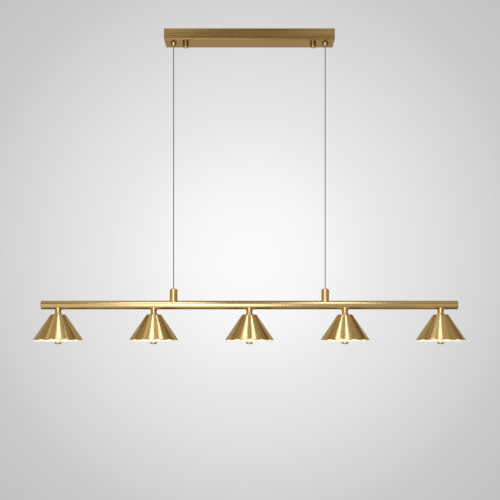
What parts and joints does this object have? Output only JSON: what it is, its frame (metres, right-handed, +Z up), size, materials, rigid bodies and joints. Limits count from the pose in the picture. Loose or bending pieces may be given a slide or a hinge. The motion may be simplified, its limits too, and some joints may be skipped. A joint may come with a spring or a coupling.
{
  "type": "linear pendant light",
  "caption": "Round brass bar hung level on taut cables below a slim box canopy, with fluted cone shades and opal diffusers along its underside.",
  "frame": {"origin": "centre of the ceiling bracket's top face, in the ceiling plane, midway between its slots", "axes": "+X along the bar, to the right seen from the front; -Y is the front; +Z is up"},
  "size_m": [1.2376, 0.1396, 0.8954],
  "materials": {
    "brushed_brass": "brushed",
    "turned_brass": "satin",
    "opal_acrylic": "lit satin",
    "cable": "dark satin",
    "zinc_steel": "zinc plated",
    "aluminium": "plain",
    "light_board": "gloss",
    "driver_case": "matte",
    "foam_tape": "matte",
    "wire": "matte",
    "earth_wire": "matte",
    "liner": "satin"
  },
  "bodies": {
    "ceiling_side": {"ceiling_bracket": "zinc_steel", "canopy_studs": "zinc_steel", "stud_nuts": "zinc_steel", "earth_screw": "zinc_steel", "canopy": "brushed_brass", "gland_left": "turned_brass", "gland_right": "turned_brass", "gland_nuts": "zinc_steel", "driver_case": "driver_case", "driver_covers": "driver_case", "driver_tape": "foam_tape", "terminal_block": "driver_case", "supply_leads": "wire", "earth_lead": "earth_wire", "output_leads": "wire"},
    "swivels": {"swivel_liners": "liner"},
    "left_cable": {"cable_left": "cable", "cable_balls_left": "zinc_steel"},
    "right_cable": {"cable_right": "cable", "cable_balls_right": "zinc_steel"},
    "bar_and_lamps": {"bar_tube": "brushed_brass", "bar_end_left": "turned_brass", "bar_end_right": "turned_brass", "grip_base_left": "turned_brass", "grip_base_right": "turned_brass", "grip_cap_left": "turned_brass", "grip_cap_right": "turned_brass", "grip_nuts": "zinc_steel", "bar_leads": "wire", "stems": "zinc_steel", "stem_nuts": "zinc_steel", "shade_washers": "zinc_steel", "led_plates": "aluminium", "led_boards": "light_board", "neck_1": "turned_brass", "neck_2": "turned_brass", "neck_3": "turned_brass", "neck_4": "turned_brass", "neck_5": "turned_brass", "shade_1": "brushed_brass", "shade_2": "brushed_brass", "shade_3": "brushed_brass", "shade_4": "brushed_brass", "shade_5": "brushed_brass", "diffuser_1": "opal_acrylic", "diffuser_2": "opal_acrylic", "diffuser_3": "opal_acrylic", "diffuser_4": "opal_acrylic", "diffuser_5": "opal_acrylic"},
    "left_cap_nut": {"cap_nut_left": "turned_brass"},
    "right_cap_nut": {"cap_nut_right": "turned_brass"},
    "finial_body_1": {"finial_1": "turned_brass"},
    "finial_body_2": {"finial_2": "turned_brass"},
    "finial_body_3": {"finial_3": "turned_brass"},
    "finial_body_4": {"finial_4": "turned_brass"},
    "finial_body_5": {"finial_5": "turned_brass"}
  },
  "joints": [
    {"name": "swing", "type": "hinge", "parent": "ceiling_side", "child": "swivels", "pos_m": [0, 0, -0.0363], "axis": [1, 0, 0], "range_deg": [-15, 15]},
    {"name": "sway", "type": "hinge", "parent": "swivels", "child": "left_cable", "pos_m": [-0.218, 0, -0.0363], "axis": [0, 1, 0], "range_deg": [-15, 15]},
    {"name": "sway_right", "type": "hinge", "parent": "swivels", "child": "right_cable", "pos_m": [0.218, 0, -0.0363], "axis": [0, 1, 0], "range_deg": [-15, 15]},
    {"name": "bar_level", "type": "hinge", "parent": "left_cable", "child": "bar_and_lamps", "pos_m": [-0.218, 0, -0.7422], "axis": [0, 1, 0], "range_deg": [-15, 15]},
    {"name": "left_cap_nut_turn", "type": "hinge", "parent": "ceiling_side", "child": "left_cap_nut", "pos_m": [-0.183, 0, -0.037], "axis": [0, 0, 1], "continuous": true},
    {"name": "right_cap_nut_turn", "type": "hinge", "parent": "ceiling_side", "child": "right_cap_nut", "pos_m": [0.183, 0, -0.037], "axis": [0, 0, 1], "continuous": true},
    {"name": "finial_1_turn", "type": "hinge", "parent": "bar_and_lamps", "child": "finial_body_1", "pos_m": [-0.55, 0, -0.892], "axis": [0, 0, 1], "continuous": true},
    {"name": "finial_2_turn", "type": "hinge", "parent": "bar_and_lamps", "child": "finial_body_2", "pos_m": [-0.275, 0, -0.892], "axis": [0, 0, 1], "continuous": true},
    {"name": "finial_3_turn", "type": "hinge", "parent": "bar_and_lamps", "child": "finial_body_3", "pos_m": [0, 0, -0.892], "axis": [0, 0, 1], "continuous": true},
    {"name": "finial_4_turn", "type": "hinge", "parent": "bar_and_lamps", "child": "finial_body_4", "pos_m": [0.275, 0, -0.892], "axis": [0, 0, 1], "continuous": true},
    {"name": "finial_5_turn", "type": "hinge", "parent": "bar_and_lamps", "child": "finial_body_5", "pos_m": [0.55, 0, -0.892], "axis": [0, 0, 1], "continuous": true}
  ],
  "couplings": [
    {"joint": "sway_right", "follows": "sway", "ratio": 1},
    {"joint": "bar_level", "follows": "sway", "ratio": -1}
  ]
}
